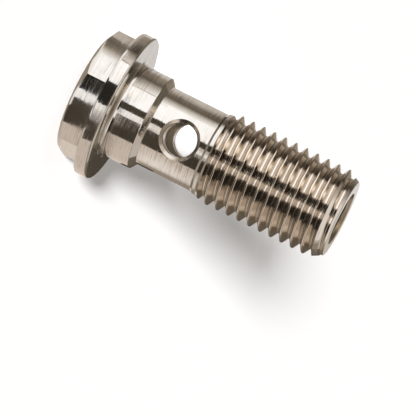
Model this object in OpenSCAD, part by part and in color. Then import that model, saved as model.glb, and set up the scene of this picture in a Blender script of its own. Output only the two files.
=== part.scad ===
// Banjo bolt: a hollow bolt that clamps a banjo fitting and feeds it through its waist.
// Millimetres. The bolt stands on its head: Z is its axis, the outer face of the head is z = 0,
// and the cross hole runs along Y.

/* [Head] */
// Width across the flats of the hexagon
hex_af = 13; // [12:0.1:13.6]
// Height of the hexagon under the flange
hex_h = 2.9; // [2.2:0.05:6]
// Diameter to which the corners of the hexagon are turned
hex_corner_d = 14.9; // [14:0.1:15.6]
// Diameter of the flat outer face inside the chamfer
hex_face_d = 12.4; // [10:0.1:12.6]
// Angle of the chamfer on the outer face, measured from that face
hex_chamfer_angle = 30; // [15:1:40]
// Turn of the hexagon about the axis, away from the cross hole
hex_turn = 15; // [0:1:59]
// Diameter of the flange
flange_d = 16.3; // [15.8:0.1:19]
// Thickness of the flange
flange_t = 1.55; // [1:0.1:3]
// Rounding of the flange rim
flange_edge_r = 0.22; // [0.1:0.02:0.4]

/* [Shoulder and neck] */
// Diameter of the shoulder that centres the sealing washer
shoulder_d = 10.4; // [10.2:0.1:11]
// Length from the flange face to the neck
shoulder_l = 3.9; // [2.5:0.05:6]
// Fillet between the flange face and the shoulder
shoulder_fillet_r = 0.5; // [0.2:0.05:0.8]
// Length of the chamfer at the neck end of the shoulder
shoulder_chamfer_l = 0.55; // [0.2:0.05:1]
// Diameter of the neck
neck_d = 8.9; // [8.7:0.1:9.4]
// Length of the neck
neck_l = 6.35; // [5.6:0.1:12]

/* [Thread] */
// Diameter of the plain ring that the thread runs out on
collar_d = 9.2; // [9:0.05:9.6]
// Length of that ring, its chamfer included
collar_l = 0.65; // [0.4:0.05:1]
// Nominal diameter of the thread
thread_d = 10; // [9.9:0.05:10.2]
// Pitch of the thread
pitch = 1.25; // [1:0.05:1.5]
// Length from the neck to the end of the bolt
thread_l = 15.4; // [8:0.1:30]
// Diameter of the flat ring at the end of the bolt
end_face_d = 8.4; // [7.4:0.1:8.4]
// Angle of the lead-in chamfers at both ends, measured from the axis
lead_angle = 30; // [25:1:45]
// Turn of the thread about the axis, in degrees
thread_start = 290; // [0:5:355]

/* [Oil ways] */
// Diameter of the blind bore
bore_d = 5.2; // [3.6:0.1:5.6]
// Width of the chamfer round the mouth of the bore
bore_chamfer = 0.35; // [0.1:0.05:0.6]
// Depth of full bore past the middle of the cross hole
bore_past_hole = 2; // [1.9:0.1:2.6]
// Diameter of the cross hole
cross_d = 3.6; // [2:0.1:3.8]
// Distance from the flange face to the middle of the cross hole
cross_z = 7.45; // [7.2:0.05:7.8]
// Width of the chamfer round each mouth of the cross hole
cross_chamfer = 0.38; // [0.15:0.01:0.5]

/* [Hidden] */

$fn = 96;
// Reach of a cut past the surface that it opens
cut = 1;
// Depth to which one shape runs into the next
overlap = 0.2;

// Heights of the faces above the outer face of the head
flange_z = hex_h;
seat_z = flange_z + flange_t;
neck_z = seat_z + shoulder_l;
thread_z = neck_z + neck_l;
end_z = thread_z + thread_l;
hole_z = seat_z + cross_z;
bore_floor_z = hole_z - bore_past_hole;

hex_sides = 6;
neck_r = neck_d / 2;
collar_r = collar_d / 2;
bore_r = bore_d / 2;
cross_r = cross_d / 2;

// Metric thread form: 60 degree flanks, crest cut to an eighth of the pitch
flank_angle = 30;
depth_ratio = 0.61343;
crest_ratio = 1 / 8;
thread_depth = depth_ratio * pitch;
root_r = thread_d / 2 - thread_depth;
crest_r = thread_d / 2;
crest_w = crest_ratio * pitch;
flank_w = thread_depth * tan(flank_angle);
root_w = pitch - crest_w - 2 * flank_w;
// Height and radius of each corner of the form, from one root to the next
form = [
    [0, root_r],
    [root_w, root_r],
    [root_w + flank_w, crest_r],
    [root_w + flank_w + crest_w, crest_r],
];
turn_steps = 40;
// Whole turns past the blank at each end, which the blank cuts off
spare_turns = 2;
turns = ceil(thread_l / pitch) + 2 * spare_turns;
steps = turns * turn_steps;
spiral_z = thread_z - spare_turns * pitch;

// Point of a drill for the floor of the bore
drill_angle = 118;
drill_tip = bore_r / tan(drill_angle / 2);
// Points round the chamfer at each mouth of the cross hole
mouth_steps = 48;

// Outline of a rim of radius r, from z = 0 to z = t, with both its edges rounded
module rounded_rim(r, t, edge) {
    square([r - edge, t]);
    translate([0, edge]) square([r, t - 2 * edge]);
    for (z = [edge, t - edge]) translate([r - edge, z]) circle(edge);
}

// Outline of the concave fillet that fills the corner at the origin
module corner_fillet(r) {
    difference() {
        translate([-overlap, -overlap]) square(r + overlap);
        translate([r, r]) circle(r);
    }
}

// Hexagon with turned corners and a conical chamfer on its outer face
module hex_head() {
    chamfer_h = (hex_corner_d - hex_face_d) / 2 * tan(hex_chamfer_angle);
    intersection() {
        rotate(hex_turn)
            cylinder(h = hex_h + overlap, d = hex_af / cos(180 / hex_sides), $fn = hex_sides);
        rotate_extrude()
            polygon([
                [0, 0],
                [hex_face_d / 2, 0],
                [hex_corner_d / 2, chamfer_h],
                [hex_corner_d / 2, hex_h + overlap],
                [0, hex_h + overlap],
            ]);
    }
}

// Flange, shoulder, neck and the ring at the start of the thread, turned in one profile
module shank() {
    shoulder_r = shoulder_d / 2;
    collar_chamfer_l = (collar_r - neck_r) / tan(lead_angle);
    hidden_r = root_r - overlap;
    rotate_extrude() {
        translate([0, flange_z]) rounded_rim(flange_d / 2, flange_t, flange_edge_r);
        translate([shoulder_r, seat_z]) corner_fillet(shoulder_fillet_r);
        polygon([
            [0, seat_z - overlap],
            [shoulder_r, seat_z - overlap],
            [shoulder_r, neck_z - shoulder_chamfer_l],
            [neck_r, neck_z],
            [neck_r, thread_z],
            [collar_r, thread_z + collar_chamfer_l],
            [collar_r, thread_z + collar_l],
            [hidden_r, thread_z + collar_l + collar_r - hidden_r],
            [0, thread_z + collar_l + collar_r - hidden_r],
        ]);
    }
}

// One corner of the thread form after i steps round the spiral
function spiral_point(i, corner) =
    let (a = 360 * i / turn_steps)
    [
        corner.y * cos(a),
        corner.y * sin(a),
        spiral_z + pitch * i / turn_steps + corner.x,
    ];

// Endless right-hand thread: the form swept along a spiral and closed over the axis at both ends
module spiral() {
    k = len(form);
    floor_i = (steps + 1) * k;
    roof_i = floor_i + 1;
    last = steps - turn_steps;
    points = [
        for (i = [0:steps], corner = form) spiral_point(i, corner),
        [0, 0, spiral_z + pitch / 2],
        [0, 0, spiral_z + (turns - 1 / 2) * pitch],
    ];
    side_faces = [
        for (i = [0:steps - 1], j = [0:k - 2])
            let (p = i * k + j)
            each [[p, p + 1, p + k + 1], [p, p + k + 1, p + k]],
    ];
    joining_faces = [
        for (i = [0:last - 1])
            let (p = i * k + k - 1, q = (i + turn_steps) * k)
            each [[p, q, q + k], [p, q + k, p + k]],
    ];
    floor_faces = [
        for (i = [0:turn_steps - 1]) [floor_i, i * k, (i + 1) * k],
        [floor_i, turn_steps * k, k - 1],
        for (j = [k - 1:-1:1]) [floor_i, j, j - 1],
    ];
    roof_faces = [
        for (i = [last:steps - 1]) [roof_i, (i + 1) * k + k - 1, i * k + k - 1],
        [roof_i, last * k + k - 1, steps * k],
        for (j = [0:k - 2]) [roof_i, steps * k + j, steps * k + j + 1],
    ];
    rotate(thread_start)
        polyhedron(points, concat(side_faces, joining_faces, floor_faces, roof_faces));
}

// Turned blank that the thread is cut into: a cone at each end of a cylinder wider than the crests
module thread_blank() {
    slope = tan(lead_angle);
    wide_r = crest_r + overlap;
    hidden_r = root_r - overlap;
    ring_z = thread_z + collar_l;
    hidden_z = ring_z - (collar_r - hidden_r) / slope;
    rotate_extrude()
        polygon([
            [0, hidden_z],
            [hidden_r, hidden_z],
            [wide_r, ring_z + (wide_r - collar_r) / slope],
            [wide_r, end_z - (wide_r - end_face_d / 2) / slope],
            [end_face_d / 2, end_z],
            [0, end_z],
        ]);
}

// Blind bore from the threaded end to just past the cross hole, with a drill point and a chamfered mouth
module bore() {
    translate([0, 0, bore_floor_z]) cylinder(h = end_z - bore_floor_z + cut, r = bore_r);
    translate([0, 0, bore_floor_z - drill_tip]) cylinder(h = drill_tip, r1 = 0, r2 = bore_r);
    translate([0, 0, end_z - bore_chamfer])
        cylinder(h = bore_chamfer + cut, r1 = bore_r, r2 = bore_r + bore_chamfer + cut);
}

// Height of the neck surface above a point that lies y to the side of the cross hole
function neck_height(y) = sqrt(pow(neck_r, 2) - pow(y, 2));

// Cutter for the chamfer of the cross hole: it follows the round of the neck, so its width is even
module mouth_chamfer() {
    n = mouth_steps;
    rings = [
        [cross_r - cross_chamfer, -2 * cross_chamfer],
        [cross_r + 2 * cross_chamfer, cross_chamfer],
        [cross_r + 2 * cross_chamfer, 2 * cross_chamfer],
    ];
    points = [
        for (ring = rings, i = [0:n - 1])
            let (a = 360 * i / n, side = ring[0] * cos(a))
            [side, ring[0] * sin(a), neck_height(side) + ring[1]],
    ];
    walls = [
        for (r = [0, 1], i = [0:n - 1])
            let (p = r * n + i, q = r * n + (i + 1) % n)
            each [[p, p + n, q + n], [p, q + n, q]],
    ];
    floor_face = [for (i = [1:n - 2]) [0, i, i + 1]];
    roof_face = [for (i = [1:n - 2]) [2 * n, 2 * n + i + 1, 2 * n + i]];
    polyhedron(points, concat(walls, floor_face, roof_face));
}

// Cross hole through both walls of the neck
module cross_hole() {
    translate([0, 0, hole_z]) {
        rotate([90, 0, 0]) cylinder(h = neck_d + 2 * cut, r = cross_r, center = true);
        for (tilt = [-90, 90]) rotate([tilt, 0, 0]) mouth_chamfer();
    }
}

module banjo_bolt() {
    color("silver")
        difference() {
            union() {
                hex_head();
                shank();
                intersection() {
                    spiral();
                    thread_blank();
                }
            }
            bore();
            cross_hole();
        }
}

banjo_bolt();
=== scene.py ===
"""Banjo bolt: the dressed bolt and the studio round it.

The bolt stands on its head. Z is its axis, the outer face of the head is z = 0, and the cross
hole runs along Y. Sizes are in millimetres, and meshes are scaled to metres when they are done.
"""

import logging
import math
from dataclasses import dataclass, field
from enum import Enum

import bmesh
import bpy
from bmesh.types import BMEdge, BMesh, BMLayerItem, BMVert
from bpy.types import ID, Light, Material, Mesh, Node, NodeSocket, NodeTree, Object, World
from mathutils import Matrix, Vector


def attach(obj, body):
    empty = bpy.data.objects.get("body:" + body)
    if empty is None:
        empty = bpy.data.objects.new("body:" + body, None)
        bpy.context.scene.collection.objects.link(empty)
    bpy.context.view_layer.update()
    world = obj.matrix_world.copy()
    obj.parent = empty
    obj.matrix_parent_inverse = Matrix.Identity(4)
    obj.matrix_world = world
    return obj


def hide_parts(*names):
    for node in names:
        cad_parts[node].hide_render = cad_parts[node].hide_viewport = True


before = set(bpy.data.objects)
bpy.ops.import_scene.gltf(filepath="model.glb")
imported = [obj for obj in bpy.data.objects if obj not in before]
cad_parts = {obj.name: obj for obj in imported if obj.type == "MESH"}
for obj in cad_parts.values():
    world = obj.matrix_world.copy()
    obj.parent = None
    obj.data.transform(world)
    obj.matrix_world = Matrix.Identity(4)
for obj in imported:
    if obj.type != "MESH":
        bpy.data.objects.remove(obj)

NODE = "banjo_bolt"
BODY = "root"
PIECE = "turned_banjo_bolt"
METRES = 0.001
FULL_TURN = 2 * math.pi
Pair = tuple[float, float]
Y_AXIS = (0.0, 1.0, 0.0)
Z_AXIS = (0.0, 0.0, 1.0)
ORIGIN = (0.0, 0.0, 0.0)
# Places of the two colours in a Mix node, which has other inputs of the same names
MIX_FROM, MIX_TO = 6, 7

log = logging.getLogger("banjo_bolt")


def linear(hex_colour: str) -> tuple[float, float, float, float]:
    """Turn an sRGB hex colour into the linear colour that a shader takes.

    Args:
        hex_colour: six hex digits, such as "C8BFB0".

    Returns:
        Linear red, green, blue and an alpha of 1.
    """
    red, green, blue = (
        value / 12.92 if value <= 0.04045 else ((value + 0.055) / 1.055) ** 2.4
        for value in (byte / 255 for byte in bytes.fromhex(hex_colour))
    )
    return (red, green, blue, 1.0)


def add_node(tree: NodeTree, kind: str, inputs: dict | None = None, **settings: object) -> Node:
    """Add a node with its settings, and set or link its inputs.

    Args:
        tree: node tree that the node goes into.
        kind: Blender's name for the kind of node, without its prefix.
        inputs: what each input takes, by its name or index: a value, the output of another
            node, or that node itself, which gives the first output that it has in use.
        **settings: properties of the node itself.

    Returns:
        The new node.
    """
    node = tree.nodes.new(f"ShaderNode{kind}")
    for name, value in settings.items():
        setattr(node, name, value)
    for key, value in (inputs or {}).items():
        if isinstance(value, Node):
            value = next(output for output in value.outputs if output.enabled)
        if isinstance(value, NodeSocket):
            tree.links.new(value, node.inputs[key])
        else:
            node.inputs[key].default_value = value
    return node


def bare_tree(owner: Material | World) -> NodeTree:
    """Give a material or a world an empty node tree.

    Args:
        owner: the material or the world.

    Returns:
        Its node tree.
    """
    owner.use_nodes = True
    owner.node_tree.nodes.clear()
    return owner.node_tree


def verts_in(geom: list) -> list[BMVert]:
    """Pick the corners out of a list of corners, edges and faces."""
    return [item for item in geom if isinstance(item, BMVert)]


def spin(bm: BMesh, geom: list, angle: float, steps: int, rise: float = 0.0) -> list:
    """Spin corners and edges round the axis into faces.

    Args:
        bm: mesh that is changed.
        geom: its corners and edges.
        angle: angle to spin through, in radians.
        steps: number of steps on the way.
        rise: height gained at each step.

    Returns:
        The corners and edges at the far end.
    """
    return bmesh.ops.spin(
        bm,
        geom=geom,
        cent=ORIGIN,
        axis=Z_AXIS,
        dvec=(0, 0, rise),
        angle=angle,
        steps=steps,
        use_merge=abs(angle) >= FULL_TURN and rise == 0,
        use_duplicate=False,
    )["geom_last"]


def to_scene(name: str, data: ID) -> Object:
    """Put a mesh, a lamp or a camera into the scene.

    Args:
        name: name of the object.
        data: what it shows.

    Returns:
        The new object.
    """
    made = bpy.data.objects.new(name, data)
    bpy.context.scene.collection.objects.link(made)
    return made


def to_object(bm: BMesh, name: str, material: Material) -> Object:
    """Make an object of a mesh under construction.

    Args:
        bm: the mesh. It is freed.
        name: name of the object and its mesh.
        material: what it is made of.

    Returns:
        The new object.
    """
    mesh = bpy.data.meshes.new(name)
    bm.to_mesh(mesh)
    bm.free()
    mesh.materials.append(material)
    return to_scene(name, mesh)


class Part(Enum):
    """Surfaces of the bolt that were made in different ways."""

    TURNED = "turned"
    FLATS = "flats"
    THREAD = "thread"
    BORE = "bore"
    CROSS_HOLE = "cross_hole"


class CutAxis(Enum):
    """Axis about which the tool went round when it cut a surface."""

    BOLT = "Z"
    CROSS_HOLE = "Y"


@dataclass(frozen=True)
class CutSteel:
    """Nickel-plated steel with the fine marks of the tool that cut it.

    The plating is warm grey and bright. Its marks run round the axis of the cut: they scatter a
    reflection along the axis, and they make the edges of each reflection ragged. Lengths are in
    millimetres. A span is the stretch of a noise that is drawn out to 0 to 1.
    """

    name: str
    plate_hex: str = "D0CCC6"
    worn_hex: str = "B2ABA1"
    axis: CutAxis = CutAxis.BOLT
    roughness: float = 0.065
    roughness_spread: float = 0.04
    score_roughness: float = 0.13
    score_span: Pair = (0.52, 0.72)
    mark_spacing: float = 0.1
    mark_length: float = 2.6
    mark_depth: float = 0.0012
    mark_detail: float = 2.0
    mark_gain: float = 0.6
    face_lean: float = 0.8
    raggedness: float = 0.03
    patch_size: float = 2.5
    patch_detail: float = 4.0
    patch_gain: float = 0.55
    patch_span: Pair = (0.35, 0.7)
    streak_span: Pair = (0.38, 0.68)
    least_streak: float = 0.1
    anisotropy: float = 0.5
    quarter_turn: float = 0.25
    metallic: float = 1.0

    def build(self) -> Material:
        """Make the material.

        Returns:
            The material, with its marks placed by object coordinates.
        """
        material = bpy.data.materials.new(self.name)
        tree = bare_tree(material)
        marks = self._marks(tree)
        wear = self._wear(tree)
        tangent = add_node(tree, "Tangent", direction_type="RADIAL", axis=self.axis.value)
        shader = add_node(
            tree,
            "BsdfPrincipled",
            {
                "Base Color": self._colour(tree, marks, wear),
                "Metallic": self.metallic,
                "Roughness": self._roughness(tree, marks, wear),
                "Normal": self._normal(tree, marks),
                "Anisotropic": self.anisotropy,
                "Anisotropic Rotation": self.quarter_turn,
                "Tangent": tangent,
            },
        )
        add_node(tree, "OutputMaterial", {"Surface": shader})
        return material

    def _marks(self, tree: NodeTree) -> Node:
        """Make the noise of the tool marks, drawn out round the axis of the cut.

        The real feed marks are about 0.05 mm apart, finer than the render shows, so they are
        drawn a little coarser.

        Args:
            tree: node tree of the material.

        Returns:
            The node that gives it, from 0 to 1.
        """
        place = add_node(tree, "TexCoord").outputs["Object"]
        parts = add_node(tree, "SeparateXYZ", {"Vector": place}).outputs
        others = [parts[name] for name in "XYZ" if name != self.axis.value]
        flat = dict(zip("XY", others))
        across = add_node(tree, "CombineXYZ", flat)
        radius = add_node(tree, "VectorMath", {0: across}, operation="LENGTH")
        feed = add_node(
            tree,
            "Math",
            {0: radius, 1: self.face_lean, 2: parts[self.axis.value]},
            operation="MULTIPLY_ADD",
        )
        drawn = add_node(tree, "CombineXYZ", flat | {"Z": feed})
        around, along = (1 / (d * METRES) for d in (self.mark_length, self.mark_spacing))
        scaled = add_node(
            tree, "VectorMath", {0: drawn, 1: (around, around, along)}, operation="MULTIPLY"
        )
        return add_node(
            tree,
            "TexNoise",
            {
                "Vector": scaled,
                "Scale": 1.0,
                "Detail": self.mark_detail,
                "Roughness": self.mark_gain,
            },
        )

    def _wear(self, tree: NodeTree) -> Node:
        """Make the slow change of the plating over the surface, in patches.

        Args:
            tree: node tree of the material.

        Returns:
            The node that gives it, from 0 to 1.
        """
        patches = add_node(
            tree,
            "TexNoise",
            {
                "Vector": add_node(tree, "TexCoord").outputs["Object"],
                "Scale": 1 / (self.patch_size * METRES),
                "Detail": self.patch_detail,
                "Roughness": self.patch_gain,
            },
        )
        low, high = self.patch_span
        return add_node(tree, "MapRange", {"Value": patches, "From Min": low, "From Max": high})

    def _colour(self, tree: NodeTree, marks: Node, wear: Node) -> Node:
        """Mix the plating with its duller, worn tone.

        Args:
            tree: node tree of the material.
            marks: noise of the tool marks.
            wear: slow patches.

        Returns:
            The node that gives the colour.
        """
        low, high = self.streak_span
        streaks = add_node(
            tree,
            "MapRange",
            {"Value": marks, "From Min": low, "From Max": high, "To Min": self.least_streak},
        )
        share = add_node(tree, "Math", {0: streaks, 1: wear}, operation="MULTIPLY")
        return add_node(
            tree,
            "Mix",
            {0: share, MIX_FROM: linear(self.plate_hex), MIX_TO: linear(self.worn_hex)},
            data_type="RGBA",
        )

    def _roughness(self, tree: NodeTree, marks: Node, wear: Node) -> Node:
        """Make worn places rougher, and the deepest marks much rougher.

        Args:
            tree: node tree of the material.
            marks: noise of the tool marks.
            wear: slow patches.

        Returns:
            The node that gives the roughness.
        """
        low, high = self.score_span
        scores = add_node(
            tree,
            "MapRange",
            {"Value": marks, "From Min": low, "From Max": high, "To Max": self.score_roughness},
        )
        both = add_node(tree, "Math", {0: marks, 1: wear}, operation="ADD")
        even = add_node(
            tree,
            "Math",
            {0: both, 1: self.roughness_spread / 2, 2: self.roughness},
            operation="MULTIPLY_ADD",
        )
        return add_node(tree, "Math", {0: even, 1: scores}, operation="ADD")

    def _normal(self, tree: NodeTree, marks: Node) -> Node:
        """Lean the normal to and fro round the axis from mark to mark, then add their depth.

        Args:
            tree: node tree of the material.
            marks: noise of the tool marks.

        Returns:
            The node that gives the normal.
        """
        straight = add_node(tree, "NewGeometry").outputs["Normal"]
        pole = Y_AXIS if self.axis is CutAxis.CROSS_HOLE else Z_AXIS
        round_axis = add_node(
            tree, "VectorMath", {0: pole, 1: straight}, operation="CROSS_PRODUCT"
        )
        lean = add_node(
            tree,
            "Math",
            {0: marks, 1: 2 * self.raggedness, 2: -self.raggedness},
            operation="MULTIPLY_ADD",
        )
        leaning = add_node(tree, "VectorMath", {0: round_axis, "Scale": lean}, operation="SCALE")
        ragged = add_node(tree, "VectorMath", {0: straight, 1: leaning}, operation="ADD")
        unit = add_node(tree, "VectorMath", {0: ragged}, operation="NORMALIZE")
        return add_node(
            tree,
            "Bump",
            {
                "Strength": 1.0,
                "Distance": self.mark_depth * METRES,
                "Height": marks,
                "Normal": unit,
            },
        )


FINISHES: dict[Part, CutSteel] = {
    # Turned nickel-plated steel: bright, with lines round the axis.
    Part.TURNED: CutSteel("turned_nickel_plated_steel"),
    # Milled flats of the hexagon: the same plating, with straight lines across the flats.
    Part.FLATS: CutSteel("milled_nickel_plated_steel", face_lean=0.0, raggedness=0.02),
    # Rolled thread: burnished by the rolls, and warmer where its grooves mirror each other.
    Part.THREAD: CutSteel(
        "rolled_nickel_plated_steel",
        plate_hex="D3CABF",
        worn_hex="BFB5A8",
        roughness=0.07,
        raggedness=0.02,
        mark_depth=0.0006,
        score_roughness=0.06,
    ),
    # Drilled bore: darker and browner than the outside, and a little less than fully metallic, so
    # that it scatters some light.
    Part.BORE: CutSteel(
        "drilled_bore_steel",
        plate_hex="A0937F",
        worn_hex="7A6E5E",
        roughness=0.14,
        mark_depth=0.004,
        metallic=0.975,
    ),
    # Drilled cross hole: rings of the drill show plainly along its wall.
    Part.CROSS_HOLE: CutSteel(
        "drilled_cross_hole_steel",
        plate_hex="C6BEB3",
        axis=CutAxis.CROSS_HOLE,
        roughness=0.2,
        mark_depth=0.004,
    ),
}


@dataclass(frozen=True)
class Corner:
    """One corner of a turned outline, in millimetres, with the radius of its rounding."""

    r: float
    z: float
    rounding: float = 0.0


@dataclass
class Solid:
    """Base of the bolt and its sub-parts: it makes, turns and joins solids."""

    round_steps: int = 224
    arc_steps: int = 4
    arc_profile: float = 0.5
    longest_edge: float = 0.6
    weld: float = 0.0005

    def outline(self, *corners: Corner) -> BMesh:
        """Draw an outline in the XZ plane and round its corners.

        Args:
            *corners: corners in order.

        Returns:
            A mesh of edges only.
        """
        bm = bmesh.new()
        verts = [bm.verts.new((c.r, 0.0, c.z)) for c in corners]
        for a, b in zip(verts, verts[1:]):
            bm.edges.new((a, b))
        for vert, corner in zip(verts, corners):
            if corner.rounding > 0:
                offset = self._tangent_length(vert, corner.rounding)
                self.round_off(bm, [vert], offset, "VERTICES")
        for edge in list(bm.edges):
            cuts = math.ceil(edge.calc_length() / self.longest_edge) - 1
            if cuts > 0:
                bmesh.ops.subdivide_edges(bm, edges=[edge], cuts=cuts)
        return bm

    def round_off(self, bm: BMesh, geom: list, offset: float, affect: str) -> None:
        """Cut corners or edges back to an arc.

        Args:
            bm: mesh that is changed.
            geom: its corners or edges.
            offset: how far back the arc starts, in millimetres.
            affect: VERTICES or EDGES.
        """
        bmesh.ops.bevel(
            bm,
            geom=geom,
            offset=offset,
            offset_type="OFFSET",
            affect=affect,
            segments=self.arc_steps,
            profile=self.arc_profile,
            material=-1,
        )

    @staticmethod
    def _tangent_length(vert: BMVert, rounding: float) -> float:
        """Length along each edge at which a round of that radius touches it."""
        ways = [e.other_vert(vert).co - vert.co for e in vert.link_edges]
        return rounding / math.tan(ways[0].angle(ways[1]) / 2)

    def turned(self, part: Part, *corners: Corner) -> Object:
        """Spin an outline round the axis into a closed solid.

        Args:
            part: surface that it makes.
            *corners: outline from the axis back to the axis.

        Returns:
            A new object, in millimetres.
        """
        bm = self.outline(*corners)
        spin(bm, bm.verts[:] + bm.edges[:], FULL_TURN, self.round_steps)
        return self.finished(bm, part)

    def finished(self, bm: BMesh, part: Part) -> Object:
        """Merge doubles, point the faces outwards and hand the mesh over as an object.

        Args:
            bm: closed mesh, in millimetres. It is freed.
            part: surface that it makes.

        Returns:
            A new object.
        """
        bmesh.ops.remove_doubles(bm, verts=bm.verts, dist=self.weld)
        bmesh.ops.recalc_face_normals(bm, faces=bm.faces)
        return to_object(bm, part.value, bpy.data.materials[FINISHES[part].name])

    def combine(self, base: Object, tool: Object, operation: str) -> None:
        """Join a solid to another, cut it away or keep what both share. The tool is used up.

        Args:
            base: solid that is changed.
            tool: the other solid.
            operation: UNION, DIFFERENCE or INTERSECT.
        """
        modifier = base.modifiers.new("combine", "BOOLEAN")
        modifier.object = tool
        modifier.operation = operation
        modifier.solver = "MANIFOLD"
        modifier.material_mode = "TRANSFER"
        self.apply_modifiers(base)
        bpy.data.objects.remove(tool)

    @staticmethod
    def apply_modifiers(solid: Object) -> None:
        """Give an object the mesh that its modifiers make.

        Args:
            solid: the object.
        """
        depsgraph = bpy.context.evaluated_depsgraph_get()
        made = bpy.data.meshes.new_from_object(solid.evaluated_get(depsgraph))
        solid.modifiers.clear()
        before = solid.data
        solid.data = made
        bpy.data.meshes.remove(before)


@dataclass
class Head(Solid):
    """Chamfered hexagon with turned corners."""

    af: float = 13.0
    height: float = 2.9
    corner_d: float = 14.9
    face_d: float = 12.4
    chamfer_angle: float = 30.0
    turn: float = 15.0
    sides: int = 6
    edge_rounding: float = 0.1
    overlap: float = 0.2
    spare_below: float = 1.0
    spare_above: float = 2.0

    def build(self) -> Object:
        """Make the hexagon and turn its corners and chamfer.

        Returns:
            The head as a solid.
        """
        prism = self._prism()
        chamfer_h = (self.corner_d - self.face_d) / 2 * math.tan(math.radians(self.chamfer_angle))
        top = self.height + self.overlap
        blank = self.turned(
            Part.TURNED,
            Corner(0, 0),
            Corner(self.face_d / 2, 0, 2 * self.edge_rounding),
            Corner(self.corner_d / 2, chamfer_h, self.edge_rounding),
            Corner(self.corner_d / 2, top),
            Corner(0, top),
        )
        self.combine(blank, prism, "INTERSECT")
        return blank

    def _prism(self) -> Object:
        """Extrude the hexagon and ease its upright edges.

        Returns:
            A prism taller than the head at both ends.
        """
        # A new circle has its first corner on the Y axis
        turn = math.radians(self.turn) + math.pi / 2
        bm = bmesh.new()
        bmesh.ops.create_circle(
            bm,
            cap_ends=True,
            segments=self.sides,
            radius=self.af / 2 / math.cos(math.pi / self.sides),
            matrix=Matrix.Rotation(turn, 4, "Z") @ Matrix.Translation((0, 0, -self.spare_below)),
        )
        raised = bmesh.ops.extrude_face_region(bm, geom=list(bm.faces))
        up = (0, 0, self.spare_below + self.height + self.spare_above)
        bmesh.ops.translate(bm, vec=up, verts=verts_in(raised["geom"]))
        upright = [e for e in bm.edges if abs(e.verts[0].co.z - e.verts[1].co.z) > self.height]
        self.round_off(bm, upright, self.edge_rounding, "EDGES")
        return self.finished(bm, Part.FLATS)


@dataclass
class Shank(Solid):
    """Flange, shoulder, neck and the plain ring at the start of the thread."""

    flange_d: float = 16.3
    flange_t: float = 1.55
    flange_rounding: float = 0.22
    shoulder_d: float = 10.4
    shoulder_l: float = 3.9
    shoulder_fillet: float = 0.5
    shoulder_chamfer_l: float = 0.55
    shoulder_rounding: float = 0.1
    neck_d: float = 8.9
    neck_l: float = 6.35
    neck_fillet: float = 0.05
    collar_d: float = 9.2
    collar_l: float = 0.65
    collar_rounding: float = 0.06
    hidden_depth: float = 0.55
    start: float = 2.9
    lead_angle: float = 30.0

    @property
    def seat_z(self) -> float:
        """Height of the flange face that a washer seats on."""
        return self.start + self.flange_t

    @property
    def neck_z(self) -> float:
        """Height at which the neck starts."""
        return self.seat_z + self.shoulder_l

    @property
    def thread_z(self) -> float:
        """Height at which the thread starts."""
        return self.neck_z + self.neck_l

    def build(self) -> Object:
        """Turn the whole profile.

        Returns:
            The shank as a solid.
        """
        neck_r, collar_r = self.neck_d / 2, self.collar_d / 2
        chamfer_l = (collar_r - neck_r) / math.tan(math.radians(self.lead_angle))
        hidden_r = collar_r - self.hidden_depth
        end = self.thread_z + self.collar_l + collar_r - hidden_r
        return self.turned(
            Part.TURNED,
            Corner(0, self.start),
            Corner(self.flange_d / 2, self.start, self.flange_rounding),
            Corner(self.flange_d / 2, self.seat_z, self.flange_rounding),
            Corner(self.shoulder_d / 2, self.seat_z, self.shoulder_fillet),
            Corner(
                self.shoulder_d / 2, self.neck_z - self.shoulder_chamfer_l, self.shoulder_rounding
            ),
            Corner(neck_r, self.neck_z, self.neck_fillet),
            Corner(neck_r, self.thread_z),
            Corner(collar_r, self.thread_z + chamfer_l, self.collar_rounding),
            Corner(collar_r, self.thread_z + self.collar_l, self.collar_rounding),
            Corner(hidden_r, end),
            Corner(0, end),
        )


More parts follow.
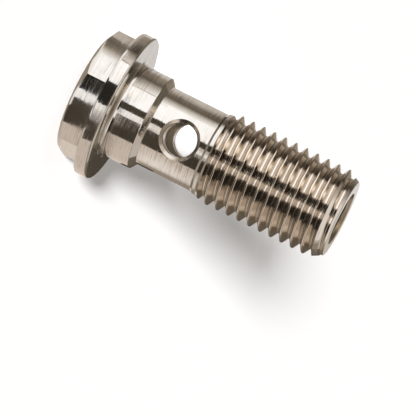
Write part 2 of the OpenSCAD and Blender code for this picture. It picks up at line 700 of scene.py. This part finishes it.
@dataclass
class Thread(Solid):
    """Metric right-hand thread, cut into a blank with a cone at each end."""

    diameter: float = 10.0
    pitch: float = 1.25
    length: float = 15.4
    start: float = 14.7
    turn: float = 290.0
    end_face_d: float = 8.4
    lead_angle: float = 30.0
    collar_d: float = 9.2
    collar_l: float = 0.65
    depth_ratio: float = 0.61343
    crest_ratio: float = 1 / 8
    flank_angle: float = 30.0
    crest_rounding: float = 0.125
    root_rounding: float = 0.09
    end_rounding: float = 0.12
    turn_steps: int = 88
    spare_turns: int = 2
    overlap: float = 0.2

    @property
    def crest_r(self) -> float:
        """Radius of the crests."""
        return self.diameter / 2

    @property
    def root_r(self) -> float:
        """Radius of the roots."""
        return self.crest_r - self.depth_ratio * self.pitch

    @property
    def end_z(self) -> float:
        """Height of the end of the bolt."""
        return self.start + self.length

    def build(self) -> Object:
        """Sweep the form along the spiral and cut it to the turned blank.

        Returns:
            The threaded end as a solid.
        """
        spiral = self._spiral()
        self.combine(spiral, self._blank(), "INTERSECT")
        return spiral

    def _form(self) -> list[Corner]:
        """Draw the form of the thread over one pitch.

        Returns:
            Its corners, from the middle of a root to the middle of the next.
        """
        depth = self.crest_r - self.root_r
        flank_w = depth * math.tan(math.radians(self.flank_angle))
        crest_w = self.crest_ratio * self.pitch
        root_w = self.pitch - crest_w - 2 * flank_w
        return [
            Corner(self.root_r, 0),
            Corner(self.root_r, root_w / 2, self.root_rounding),
            Corner(self.crest_r, root_w / 2 + flank_w, self.crest_rounding),
            Corner(self.crest_r, root_w / 2 + flank_w + crest_w, self.crest_rounding),
            Corner(self.root_r, root_w / 2 + 2 * flank_w + crest_w, self.root_rounding),
            Corner(self.root_r, self.pitch),
        ]

    def _spiral(self) -> Object:
        """Spin the form upwards through one turn, stack copies of it and close both ends.

        Returns:
            A threaded rod longer than the thread at both ends.
        """
        bm = self.outline(*self._form())
        turns = math.ceil(self.length / self.pitch) + 2 * self.spare_turns
        rise = self.pitch / self.turn_steps
        spin(bm, bm.verts[:] + bm.edges[:], FULL_TURN, self.turn_steps, rise)
        one_turn = bm.verts[:] + bm.edges[:] + bm.faces[:]
        for number in range(1, turns):
            copy = bmesh.ops.duplicate(bm, geom=one_turn)["geom"]
            bmesh.ops.translate(bm, vec=(0, 0, number * self.pitch), verts=verts_in(copy))
        bmesh.ops.remove_doubles(bm, verts=bm.verts, dist=self.weld)
        top_z = turns * self.pitch
        for low, point_z in ((True, self.pitch / 2), (False, top_z + self.pitch / 2)):
            rim = [e for e in bm.edges if e.is_boundary and (e.verts[0].co.z < top_z / 2) == low]
            tips = verts_in(bmesh.ops.extrude_edge_only(bm, edges=rim)["geom"])
            bmesh.ops.pointmerge(bm, verts=tips, merge_co=(0, 0, point_z))
        place = Matrix.Translation((0, 0, self.start - self.spare_turns * self.pitch))
        turn = Matrix.Rotation(math.radians(self.turn), 4, "Z")
        bmesh.ops.transform(bm, matrix=place @ turn, verts=bm.verts)
        return self.finished(bm, Part.THREAD)

    def _blank(self) -> Object:
        """Turn the blank: a cone at each end of a cylinder wider than the crests.

        Returns:
            The blank as a solid.
        """
        slope = math.tan(math.radians(self.lead_angle))
        wide_r = self.crest_r + self.overlap
        hidden_r = self.root_r - self.overlap
        ring_r, ring_z = self.collar_d / 2, self.start + self.collar_l
        low_z = ring_z - (ring_r - hidden_r) / slope
        return self.turned(
            Part.TURNED,
            Corner(0, low_z),
            Corner(hidden_r, low_z),
            Corner(wide_r, ring_z + (wide_r - ring_r) / slope),
            Corner(wide_r, self.end_z - (wide_r - self.end_face_d / 2) / slope),
            Corner(self.end_face_d / 2, self.end_z, self.end_rounding),
            Corner(0, self.end_z),
        )


@dataclass
class OilWays(Solid):
    """Blind bore from the threaded end, and the cross hole that meets it in the neck."""

    bore_d: float = 5.2
    bore_chamfer: float = 0.35
    bore_past_hole: float = 2.0
    bore_rounding: float = 0.08
    drill_angle: float = 118.0
    cross_d: float = 3.6
    cross_chamfer: float = 0.38
    seat_z: float = 4.45
    cross_z: float = 7.45
    end_z: float = 30.1
    neck_d: float = 8.9
    cut: float = 1.0
    mouth_rounding: float = 0.06
    mouth_steps: int = 128
    tolerance: float = 0.001

    @property
    def hole_z(self) -> float:
        """Height of the middle of the cross hole."""
        return self.seat_z + self.cross_z

    def bore(self) -> Object:
        """Make the cutter of the bore, with its drill point and chamfered mouth.

        Returns:
            The cutter as a solid.
        """
        r = self.bore_d / 2
        floor_z = self.hole_z - self.bore_past_hole
        tip = r / math.tan(math.radians(self.drill_angle / 2))
        past = self.bore_chamfer + self.cut
        return self.turned(
            Part.BORE,
            Corner(0, floor_z - tip),
            Corner(r, floor_z),
            Corner(r, self.end_z - self.bore_chamfer, self.bore_rounding),
            Corner(r + past, self.end_z + self.cut),
            Corner(0, self.end_z + self.cut),
        )

    def cross_hole(self) -> Object:
        """Make the cutter of the cross hole, flared at both mouths.

        The flare follows the round of the neck, so the chamfer is even all the way round.

        Returns:
            The cutter as a solid.
        """
        r, c = self.cross_d / 2, self.cross_chamfer
        bm = bmesh.new()
        bmesh.ops.create_circle(bm, cap_ends=False, segments=self.mouth_steps, radius=r + 2 * c)
        self._follow_neck(bm.verts, 1, c)
        rim = list(bm.edges)
        for radius, side, rise in ((r, 1, -c), (r, -1, -c), (r + 2 * c, -1, c)):
            out = bmesh.ops.extrude_edge_only(bm, edges=rim)["geom"]
            verts = verts_in(out)
            rim = [item for item in out if isinstance(item, BMEdge)]
            grow = radius / verts[0].co.to_2d().length
            bmesh.ops.scale(bm, vec=(grow, grow, 1), verts=verts)
            self._follow_neck(verts, side, rise)
        bmesh.ops.holes_fill(bm, edges=[e for e in bm.edges if e.is_boundary], sides=0)
        on_wall = {v for v in bm.verts if abs(v.co.to_2d().length - r) < self.tolerance}
        lips = [
            e
            for e in bm.edges
            if on_wall.issuperset(e.verts) and abs(e.verts[0].co.z - e.verts[1].co.z) < c
        ]
        self.round_off(bm, lips, self.mouth_rounding, "EDGES")
        bmesh.ops.triangulate(bm, faces=[f for f in bm.faces if len(f.verts) > 4])
        lift = Matrix.Translation((0, 0, self.hole_z))
        bmesh.ops.transform(bm, matrix=lift @ Matrix.Rotation(math.pi / 2, 4, "X"), verts=bm.verts)
        return self.finished(bm, Part.CROSS_HOLE)

    def _follow_neck(self, verts: list[BMVert], side: int, rise: float) -> None:
        """Lay a ring on the round of the neck.

        Args:
            verts: corners of the ring, with the cross hole along Z.
            side: 1 for one mouth of the hole and -1 for the other.
            rise: height above the surface of the neck.
        """
        for vert in verts:
            vert.co.z = side * (math.sqrt((self.neck_d / 2) ** 2 - vert.co.x**2) + rise)


@dataclass
class BanjoBolt(Solid):
    """The whole bolt, one solid as the real one."""

    head: Head = field(default_factory=Head)
    sharp_angle: float = 28.0
    fine_weld: float = 0.00005
    large_faces: int = 100

    def __post_init__(self) -> None:
        """Seat each sub-part on the one before it."""
        self.shank = Shank(start=self.head.height)
        self.thread = Thread(
            start=self.shank.thread_z, collar_d=self.shank.collar_d, collar_l=self.shank.collar_l
        )
        self.oil_ways = OilWays(
            seat_z=self.shank.seat_z, end_z=self.thread.end_z, neck_d=self.shank.neck_d
        )

    def build(self) -> Object:
        """Join the head, the shank and the thread, then cut the oil ways.

        Returns:
            The bolt, in metres.
        """
        bolt = self.shank.build()
        self.combine(bolt, self.head.build(), "UNION")
        self.combine(bolt, self.oil_ways.cross_hole(), "DIFFERENCE")
        self.combine(bolt, self.thread.build(), "UNION")
        self.combine(bolt, self.oil_ways.bore(), "DIFFERENCE")
        self._clean(bolt.data)
        self._even_shading(bolt)
        bolt.data.transform(Matrix.Scale(METRES, 4))
        bolt.name = PIECE
        bolt.data.name = PIECE
        return bolt

    def _clean(self, mesh: Mesh) -> None:
        """Merge what the cuts left, and smooth all but the sharp edges.

        Args:
            mesh: mesh of the bolt, in millimetres.
        """
        bm = bmesh.new()
        bm.from_mesh(mesh)
        bmesh.ops.remove_doubles(bm, verts=bm.verts, dist=self.fine_weld)
        bmesh.ops.dissolve_degenerate(bm, edges=bm.edges, dist=self.fine_weld)
        for face in bm.faces:
            face.smooth = True
        bm.to_mesh(mesh)
        bm.free()
        mesh.set_sharp_from_angle(angle=math.radians(self.sharp_angle))

    def _even_shading(self, bolt: Object) -> None:
        """Let each large face keep its own normal, so that only the roundings look round.

        Areas in square metres are too small for the modifier to tell apart, so it is applied
        in millimetres.

        Args:
            bolt: the bolt, in millimetres.
        """
        modifier = bolt.modifiers.new("even_shading", "WEIGHTED_NORMAL")
        modifier.mode = "FACE_AREA"
        modifier.weight = self.large_faces
        modifier.keep_sharp = True
        self.apply_modifiers(bolt)

    def dress(self, bolt: Object) -> None:
        """Tie the piece to the frame.

        Args:
            bolt: the finished bolt.
        """
        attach(bolt, BODY)
        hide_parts(NODE)


# Light of a card, linear: 1 is white paper, and what shines is brighter
Tone = tuple[float, float, float]

BLACK = (0.03, 0.028, 0.024)
BROWN = (0.085, 0.07, 0.053)
DARK = (0.19, 0.165, 0.13)
UMBER = (0.3, 0.255, 0.205)
SHADE = (0.44, 0.375, 0.305)
DUSK = (0.62, 0.55, 0.48)
TAN = (1.5, 1.27, 1.0)
GLOW = (2.35, 2.3, 2.3)
BEIGE = (0.86, 0.75, 0.66)
PALE = (1.15, 1.07, 1.0)
ASH = (0.75, 0.69, 0.63)
MIST = (0.8, 0.77, 0.75)
GREY = (1.08, 1.06, 1.05)
CREAM = (1.38, 1.35, 1.32)
WHITE = (1.42, 1.41, 1.43)
SOFTBOX = (1.62, 1.62, 1.65)


@dataclass(frozen=True)
class Card:
    """A card of the tent: where it ends, its tone, and the tone that it fades to."""

    end: float
    tone: Tone
    fades_to: Tone | None = None


def cards(*each: tuple) -> tuple[Card, ...]:
    """Make the cards of a ring or a row, from the end and the tones of each."""
    return tuple(Card(*card) for card in each)


@dataclass(frozen=True)
class Ring:
    """Cards side by side round the bolt, as a ring of wedges.

    An end is the angle on the bolt at which that edge is seen, in degrees from the top of the
    picture towards the camera. The surface that shows it has a radius, and the light travels
    the reach from there to the card. Both are in millimetres, as is the path, which is the
    section of the ring. The spread is 1 for a surface that mirrors the light once, and more for
    the grooves of the thread, which mirror it twice and so send it further round the axis.
    """

    radius: float
    reach: float
    path: tuple[Pair, ...]
    cards: tuple[Card, ...]
    spread: float = 1.0

    def way(self, seen_at: float) -> float:
        """Find where an edge of a card belongs, by the law of reflection.

        Args:
            seen_at: angle on the bolt at which the edge is seen, in degrees.

        Returns:
            The bearing of the edge, in radians.
        """
        seen = math.radians(seen_at)
        mirrored = seen + math.atan(self.spread * math.tan(seen - math.pi / 2))
        up = self.radius * math.cos(seen) + self.reach * math.cos(mirrored)
        near = self.radius * math.sin(seen) + self.reach * math.sin(mirrored)
        bearing = math.atan2(near, up)
        return bearing + FULL_TURN if bearing < -math.pi / 2 else bearing


@dataclass(frozen=True)
class Row:
    """Straight cards side by side.

    The cards run along a bearing, in degrees from the top of the picture towards the camera,
    from one point of their section to another: distance and height, in millimetres. Their ends
    are distances across the row, from the bolt's axis.
    """

    bearing: float
    near: Pair
    far: Pair
    start: float
    cards: tuple[Card, ...]


# Distances from the axis at which the cards for a surface start or end. All in millimetres
CHAMFER_START = 6.1
CHAMFER_END = 7.6
FOOT_END = 23.0
FLANGE_END = 34.0
SHOULDER_END = 54.2
NECK_END = 111.0
WALL = 420.0
FLANKS_END = 190.0
UPPER_FLAT_START = 7.4
LOWER_FLAT_START = 7.9
# Heights of the cards on the floor, which lie just clear of it, and of those overhead
LOW = 0.02
CEILING = 300.0
# Section of a low cone, between the cards for the flange and those for the shoulder
STEP_TOP = (8.4, 4.42)
STEP_MIDDLE = (12.5, 3.7)
STEP_FOOT = (33.9, 2 * LOW)
# Sections of the upright cards behind the bolt
CLOSE_FOOT, CLOSE_TOP = (12.0, 4.7), (12.01, 8.2)
FAR_FOOT, FAR_TOP = (410.0, LOW), (410.1, CEILING)

RINGS: tuple[Ring, ...] = (
    # For the chamfer of the head
    Ring(
        6.8, 1.0, ((CHAMFER_START, LOW), (CHAMFER_END, LOW)),
        cards((104, UMBER, SHADE), (150, SHADE, DUSK), (180, DUSK, BEIGE)),
    ),
    # For the turned corners of the hexagon
    Ring(
        6.5, 12.0, ((CHAMFER_END, LOW), (FOOT_END, LOW)),
        cards(
            (46, ASH), (60, SHADE, CREAM), (76.5, CREAM), (92, BLACK), (103, WHITE), (119, BROWN),
            (180, BEIGE),
        ),
    ),
    # For the rim of the flange
    Ring(
        8.15, 21.0, ((FOOT_END, LOW), (FLANGE_END, LOW)),
        cards(
            (16, GREY, ASH), (33, SHADE, UMBER), (41.5, DARK, BROWN), (44, BROWN),
            (47, BROWN, UMBER), (56, UMBER, PALE), (57, DARK), (76, SOFTBOX), (93.5, BLACK),
            (98, CREAM), (108.5, GREY, BROWN), (123.5, BROWN), (180, BEIGE),
        ),
    ),
    # For the chamfer of the collar
    Ring(
        4.5, 6.0, (STEP_TOP, STEP_MIDDLE),
        cards((70, UMBER), (110, UMBER, SHADE), (180, SHADE, DUSK)),
    ),
    # For the grooves of the thread, which look down twice as steeply
    Ring(
        4.6, 17.0, (STEP_MIDDLE, STEP_FOOT),
        cards(
            (57, BROWN), (65, BROWN, TAN), (68, TAN, GLOW), (72, GLOW), (75, GLOW, TAN),
            (79, TAN, BROWN), (93, BLACK), (96.5, BROWN, PALE), (103, PALE), (107, ASH, BROWN),
            (122, BLACK), (127, BROWN, SHADE), (140, SHADE), (180, UMBER),
        ),
        spread=1.67,
    ),
    # For the shoulder
    Ring(
        5.15, 38.0, ((FLANGE_END, LOW), (SHOULDER_END, LOW)),
        cards(
            (22, GREY, ASH), (26, ASH, SHADE), (36, SHADE, UMBER), (41.5, UMBER, DARK),
            (44, DARK, SHADE), (58, SHADE, CREAM), (59, SHADE), (81.5, SOFTBOX), (89.5, BROWN),
            (96.6, WHITE), (122, BROWN), (180, BEIGE),
        ),
    ),
    # For the neck and the collar
    Ring(
        4.4, 75.0, ((SHOULDER_END, LOW), (NECK_END, LOW)),
        cards(
            (24, ASH), (33, ASH, SHADE), (43.5, UMBER, DARK), (46, DARK, SHADE), (56, SHADE, CREAM),
            (81.5, SOFTBOX), (89.5, BROWN), (99, PALE), (121.5, BROWN), (138, BEIGE, PALE),
            (148, PALE), (156, PALE, DUSK), (180, SHADE, UMBER),
        ),
    ),
    # For the crests of the thread, and for all that looks out level
    Ring(
        4.8, 190.0, ((NECK_END, LOW), (WALL, LOW), (WALL, CEILING)),
        cards(
            (18, SHADE, UMBER), (28, UMBER, DARK), (36, DARK, BROWN), (45, BROWN),
            (50, BROWN, CREAM), (80, SOFTBOX), (83, SHADE, BROWN), (92.5, BLACK), (95, BROWN, PALE),
            (103, WHITE), (106, SHADE, BROWN), (121, BLACK), (127, BROWN, UMBER),
            (140, UMBER, SHADE), (154, SHADE), (180, UMBER, BROWN),
        ),
    ),
    # Ceiling over the bolt, for the chamfers that look up
    Ring(
        4.6, 150.0, ((LOW, CEILING), (FLANKS_END, CEILING)),
        cards(
            (51, DARK), (53, DARK, TAN), (62, TAN), (66, TAN, SHADE), (122, SHADE),
            (180, DUSK, BEIGE),
        ),
        spread=2.54,
    ),
    # Ceiling further out, for the cone at the end of the thread
    Ring(
        4.6, 250.0, ((FLANKS_END, CEILING), (WALL, CEILING)),
        cards((45, DARK), (62, DARK, DUSK), (75, DUSK, PALE), (130, PALE), (180, ASH)),
        spread=1.7,
    ),
)

ROWS: tuple[Row, ...] = (
    # For the upper flat of the hexagon
    Row(
        5.8, (UPPER_FLAT_START, 2 * LOW), (FOOT_END, 2 * LOW), 1.0,
        cards(
            (2.4, ASH), (2.9, UMBER, DARK), (3.5, DARK, UMBER), (3.65, UMBER, SHADE),
            (4.5, SHADE, CREAM), (7.6, SOFTBOX),
        ),
    ),
    # For the lower flat of the hexagon
    Row(
        125.8, (LOWER_FLAT_START, 2 * LOW), (FOOT_END, 2 * LOW), -6.0,
        cards((-3.97, BLACK), (-2.92, WHITE), (-0.1, BROWN), (3.0, BEIGE)),
    ),
    # Close behind the bolt, for the seat of the flange
    Row(
        270.0, CLOSE_FOOT, CLOSE_TOP, -12.0,
        cards((-5.0, BROWN), (5.0, BROWN, MIST), (12.0, MIST)),
    ),
    # Far behind the bolt, for its end face
    Row(
        270.0, FAR_FOOT, FAR_TOP, -60.0,
        cards((-3.0, DUSK), (3.0, DUSK, MIST), (60.0, MIST, GREY)),
    ),
)


@dataclass
class ReflectorTent:
    """Light tent of long cards round the bolt, seen in the metal but not by the camera."""

    rings: tuple[Ring, ...] = RINGS
    rows: tuple[Row, ...] = ROWS
    degrees_a_step: float = 2.0
    turn: float = -3.0

    def build(self) -> list[Object]:
        """Make every card.

        Returns:
            One object for each ring and row.
        """
        material = self._material()
        made = [self._finished(self._ring(ring), material) for ring in self.rings]
        made += [self._finished(self._row(row), material) for row in self.rows]
        return made

    def _material(self) -> Material:
        """Make the cards glow, with a tone that comes from the mesh, so that an edge can fade.

        Returns:
            The material of all cards.
        """
        material = bpy.data.materials.new("tent_cloth")
        tree = bare_tree(material)
        tone = add_node(tree, "Attribute", attribute_name="tone")
        glow = add_node(tree, "Emission", {"Color": tone})
        add_node(tree, "OutputMaterial", {"Surface": glow})
        material.cycles.emission_sampling = "NONE"
        return material

    def _ring(self, ring: Ring) -> BMesh:
        """Spin the section of a ring through each of its cards.

        Args:
            ring: the ring.

        Returns:
            Its mesh, in millimetres.
        """
        bm = bmesh.new()
        layer = bm.verts.layers.float_color.new("tone")
        begin = ring.way(0.0)
        for card in ring.cards:
            end = ring.way(card.end)
            verts = [bm.verts.new((r, 0, z)) for r, z in ring.path]
            edges = [bm.edges.new(pair) for pair in zip(verts, verts[1:])]
            turn = Matrix.Rotation(self._world_angle(begin), 3, "Z")
            bmesh.ops.rotate(bm, cent=ORIGIN, matrix=turn, verts=verts)
            steps = max(1, round(math.degrees(end - begin) / self.degrees_a_step))
            geom: list = verts + edges
            for step in range(steps + 1):
                self._paint(geom, layer, card, step / steps)
                if step < steps:
                    geom = spin(bm, geom, (end - begin) / steps, 1)
            begin = end
        return bm

    def _row(self, row: Row) -> BMesh:
        """Lay the straight cards of a row.

        Args:
            row: the row.

        Returns:
            Its mesh, in millimetres.
        """
        bm = bmesh.new()
        layer = bm.verts.layers.float_color.new("tone")
        begin = row.start
        for card in row.cards:
            first = [bm.verts.new((x, begin, z)) for x, z in (row.near, row.far)]
            edge = bm.edges.new(first)
            self._paint(first, layer, card, 0.0)
            verts = verts_in(bmesh.ops.extrude_edge_only(bm, edges=[edge])["geom"])
            bmesh.ops.translate(bm, vec=(0, card.end - begin, 0), verts=verts)
            self._paint(verts, layer, card, 1.0)
            begin = card.end
        turn = Matrix.Rotation(self._world_angle(math.radians(row.bearing)), 3, "Z")
        bmesh.ops.rotate(bm, cent=ORIGIN, matrix=turn, verts=bm.verts)
        return bm

    def _world_angle(self, bearing: float) -> float:
        """Turn a bearing, from the top of the picture, into an angle from X towards Y."""
        return math.pi + bearing + math.radians(self.turn)

    @staticmethod
    def _paint(geom: list, layer: BMLayerItem, card: Card, share: float) -> None:
        """Give corners the tone of a card.

        Args:
            geom: the corners, and edges that stay as they are.
            layer: layer that holds the tones.
            card: the card.
            share: how far over it the corners are, from 0 to 1.
        """
        last = card.fades_to or card.tone
        tone = [a + (b - a) * share for a, b in zip(card.tone, last)]
        for vert in verts_in(geom):
            vert[layer] = (*tone, 1.0)

    @staticmethod
    def _finished(bm: BMesh, material: Material) -> Object:
        """Scale a mesh of cards to metres and hide it from all but the metal.

        Args:
            bm: mesh of the cards. It is freed.
            material: their cloth.

        Returns:
            The object.
        """
        bmesh.ops.scale(bm, vec=(METRES, METRES, METRES), verts=bm.verts)
        made = to_object(bm, "tent_cards", material)
        for ray in ("camera", "diffuse", "shadow", "transmission", "volume_scatter"):
            setattr(made, f"visible_{ray}", False)
        return made


@dataclass
class Studio:
    """Pale floor, soft light and the camera at the photograph's angle.

    The aim is a point on the bolt's axis, and the row of the photograph that it shows in. The
    axis runs down to the right by the slope, and its threaded end leans towards the camera,
    which stands to one side of the cross hole. Angles are in degrees, and lengths round the
    bolt in millimetres. The floor and the camera's clipping distances are in metres.
    """

    picture: float = 416.0
    sensor: float = 36.0
    focal_px: float = 3500.0
    px_a_mm: float = 9.6
    aim_z: float = 14.49
    aim_y_px: float = 152.0
    slope: float = 26.7
    lean: float = 8.3
    side: float = 3.0
    floor_half: float = 3.0
    floor_hex: str = "FFFFFF"
    floor_share: float = 0.1
    world_hex: str = "FFF8F1"
    world_strength: float = 0.29
    lamp_strength: float = 20.6
    lamp_spread: float = 3.6
    lamp_turn: float = 2.9
    lamp_rise: float = 6.5
    spot_watts: float = 60.0
    spot_cone: float = 3.4
    spot_blend: float = 1.0
    spot_radius: float = 1.0
    spot_z: float = 9.5
    spot_side: float = -6.0
    clip_near: float = 0.01
    clip_far: float = 20.0

    def build(self) -> None:
        """Make the floor, the world, the lamps and the camera."""
        self._floor()
        self._world()
        self._lamp()
        self._camera()
        self._spot()

    def _floor(self) -> None:
        """Lay the floor: white to the camera and in the metal, with the bolt's shadow on it."""
        material = bpy.data.materials.new("white_studio_paper")
        tree = bare_tree(material)
        paint = {"Color": linear(self.floor_hex)}
        paper = add_node(tree, "BsdfDiffuse", paint)
        glow = add_node(tree, "Emission", paint)
        share = add_node(
            tree, "Math", {0: self._seen(tree), 1: self.floor_share}, operation="MULTIPLY"
        )
        mixed = add_node(tree, "MixShader", {0: share, 1: paper, 2: glow})
        add_node(tree, "OutputMaterial", {"Surface": mixed})
        bm = bmesh.new()
        bmesh.ops.create_grid(bm, x_segments=1, y_segments=1, size=self.floor_half)
        floor = to_object(bm, "floor", material)

    @staticmethod
    def _seen(tree: NodeTree) -> Node:
        """Tell what looks at a surface: 1 for the camera, metal and glass, 0 for the rest.

        Args:
            tree: node tree of the material or the world.

        Returns:
            The node that tells it.
        """
        path = add_node(tree, "LightPath").outputs
        seen = path["Is Camera Ray"]
        for name in ("Is Glossy Ray", "Is Transmission Ray"):
            seen = add_node(tree, "Math", {0: seen, 1: path[name]}, operation="MAXIMUM")
        return seen

    def _world(self) -> None:
        """Light the room softly from all sides, and show it white past the floor."""
        world = bpy.data.worlds.new("soft_room")
        tree = bare_tree(world)
        room, white = (
            add_node(tree, "Background", {"Color": linear(colour), "Strength": strength})
            for colour, strength in ((self.world_hex, self.world_strength), (self.floor_hex, 1.0))
        )
        mixed = add_node(tree, "MixShader", {0: self._seen(tree), 1: room, 2: white})
        add_node(tree, "OutputWorld", {"Surface": mixed})
        bpy.context.scene.world = world

    def _lamp(self) -> None:
        """Light the bolt from beside the camera, so that its shadow lies along its lower side.

        The lamp stands so low that the floor takes only a tenth of its strength.
        """
        light = bpy.data.lights.new("low_lamp", "SUN")
        light.angle = math.radians(self.lamp_spread)
        light.energy = self.lamp_strength
        turn, rise = math.radians(self.side + self.lamp_turn), math.radians(self.lamp_rise)
        level = math.cos(rise)
        back = Vector((-math.sin(turn) * level, -math.cos(turn) * level, math.sin(rise)))
        self._hang(light, back)

    @staticmethod
    def _hang(light: Light, back: Vector) -> Object:
        """Put a lamp into the scene, unseen in the metal.

        Args:
            light: the lamp's light.
            back: the way that its back points.

        Returns:
            The lamp.
        """
        lamp = to_scene(light.name, light)
        lamp.visible_glossy = False
        lamp.rotation_euler = back.to_track_quat("Z", "Y").to_euler()
        return lamp

    def _camera(self) -> None:
        """Place the camera so that the bolt lies in the picture as it does in the photograph."""
        side, lean, slope = (math.radians(a) for a in (self.side, self.lean, self.slope))
        level_back = Vector((-math.sin(side), -math.cos(side), 0))
        axis = Vector(Z_AXIS)
        back = math.cos(lean) * level_back + math.sin(lean) * axis
        along = (axis - math.sin(lean) * back) / math.cos(lean)
        down = Vector((math.cos(side), -math.sin(side), 0))
        right = math.cos(slope) * along - math.sin(slope) * down
        up = -math.sin(slope) * along - math.cos(slope) * down
        aim = Vector((0, 0, self.aim_z * METRES))
        distance = self.focal_px / self.px_a_mm * METRES
        place = aim + distance * back
        pitch = math.atan((self.picture / 2 - self.aim_y_px) / self.focal_px)
        tipped_back = math.cos(pitch) * back + math.sin(pitch) * up
        tipped_up = math.cos(pitch) * up - math.sin(pitch) * back
        data = bpy.data.cameras.new("camera")
        data.sensor_width = self.sensor
        data.lens = self.focal_px / self.picture * self.sensor
        data.clip_start = self.clip_near
        data.clip_end = self.clip_far
        camera = to_scene("camera", data)
        matrix = Matrix((right, tipped_up, tipped_back)).transposed().to_4x4()
        matrix.translation = place
        camera.matrix_world = matrix
        bpy.context.scene.camera = camera

    def _spot(self) -> None:
        """Light the paper that shows through the cross hole, from the camera's place.

        Its cone takes in the paper over the flange too, so that the shadow lies on one side only.
        """
        light = bpy.data.lights.new("hole_spot", "SPOT")
        light.energy = self.spot_watts
        light.spot_size = math.radians(self.spot_cone)
        light.spot_blend = self.spot_blend
        light.shadow_soft_size = self.spot_radius * METRES
        place = bpy.context.scene.camera.location
        side = math.radians(self.side)
        down = Vector((math.cos(side), -math.sin(side), 0))
        back = place - (down * self.spot_side + Vector((0, 0, self.spot_z))) * METRES
        self._hang(light, back).location = place


def main() -> None:
    """Build the studio and the bolt, and report each."""
    logging.basicConfig(level=logging.INFO, format="%(name)s: %(message)s")
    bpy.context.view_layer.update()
    bpy.context.scene.view_settings.view_transform = "Standard"
    for finish in FINISHES.values():
        finish.build()
        log.info("finish %s", finish.name)
    bolt = BanjoBolt()
    made = bolt.build()
    bolt.dress(made)
    log.info("piece %s: %d faces", made.name, len(made.data.polygons))
    tent = ReflectorTent().build()
    log.info("tent: %d rings and rows of cards", len(tent))
    Studio().build()
    log.info("studio and camera")


if __name__ == "__main__":
    main()
